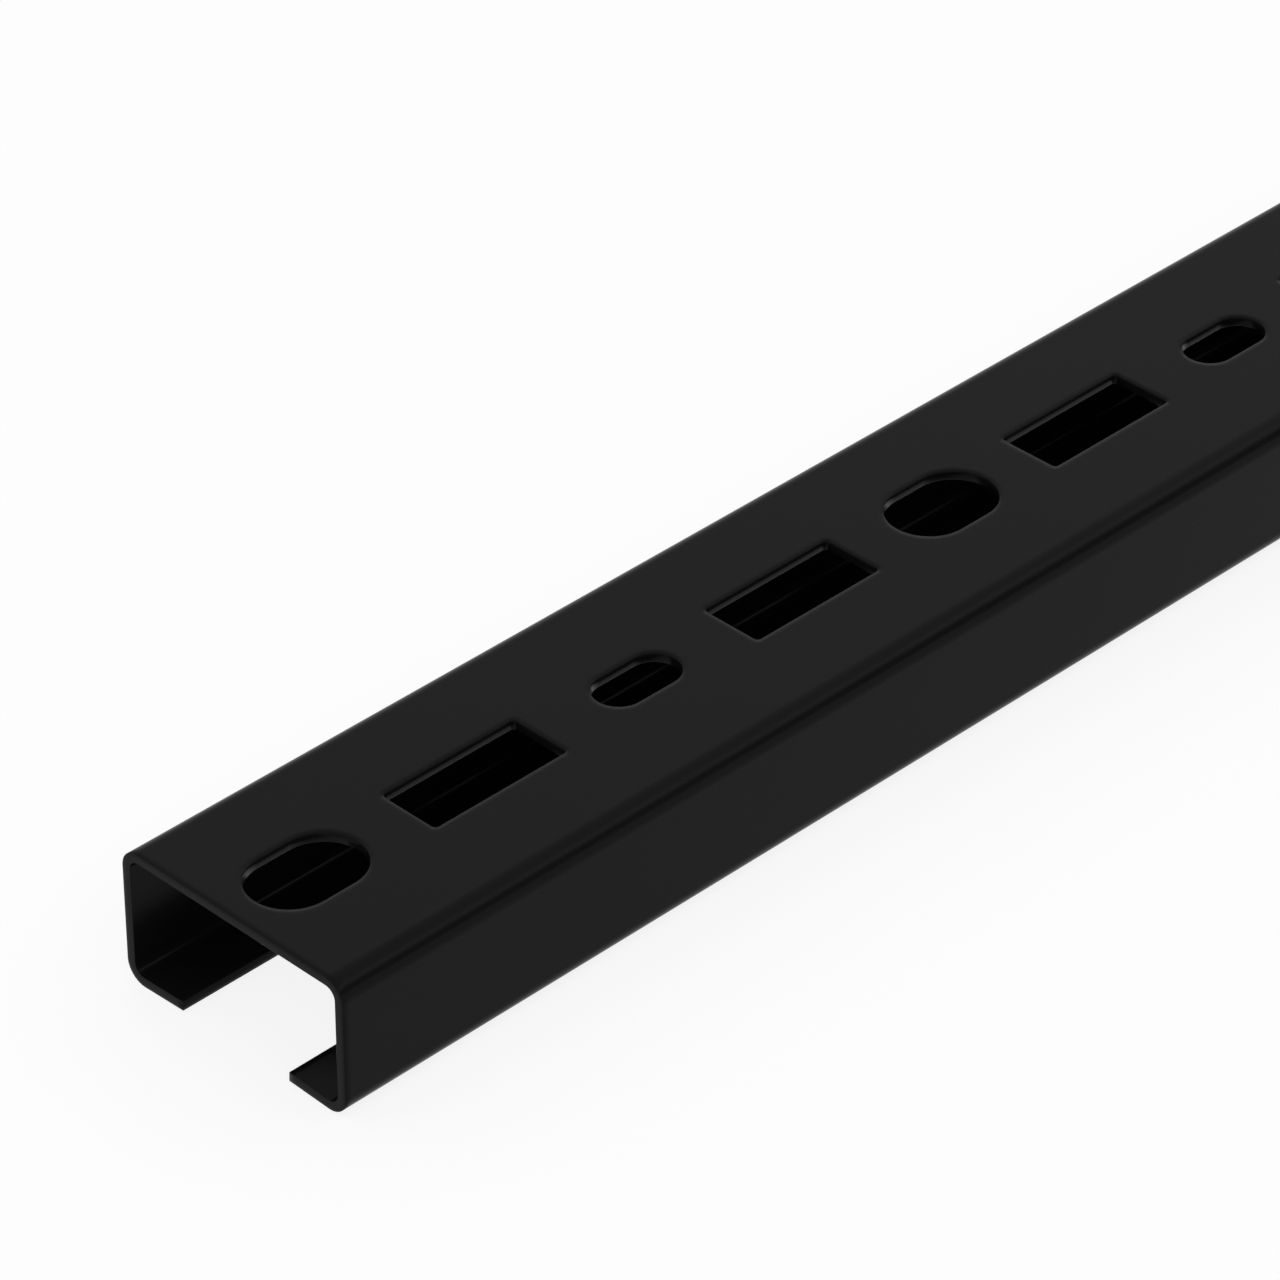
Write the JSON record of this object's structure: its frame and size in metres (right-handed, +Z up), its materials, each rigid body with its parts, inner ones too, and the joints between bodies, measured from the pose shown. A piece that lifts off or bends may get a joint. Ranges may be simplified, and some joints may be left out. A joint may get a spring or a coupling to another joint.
{
  "type": "perforated channel",
  "caption": "Straight steel C-channel with inturned lips and a web punched with oblong and rectangular holes, black powder-coated; carries clamps, pipes and cable supports.",
  "frame": {"origin": "midway along the length, on the centre line, at the level of the lips' lowest line", "axes": "+X along the length, away from the end whose first hole is a wide oblong; +Y across the width; +Z up, out of the punched web"},
  "size_m": [1, 0.035, 0.018],
  "materials": {
    "powder_coat": "black powder coat, satin, fine texture"
  },
  "bodies": {
    "root": {"channel": "powder_coat"}
  },
  "joints": []
}
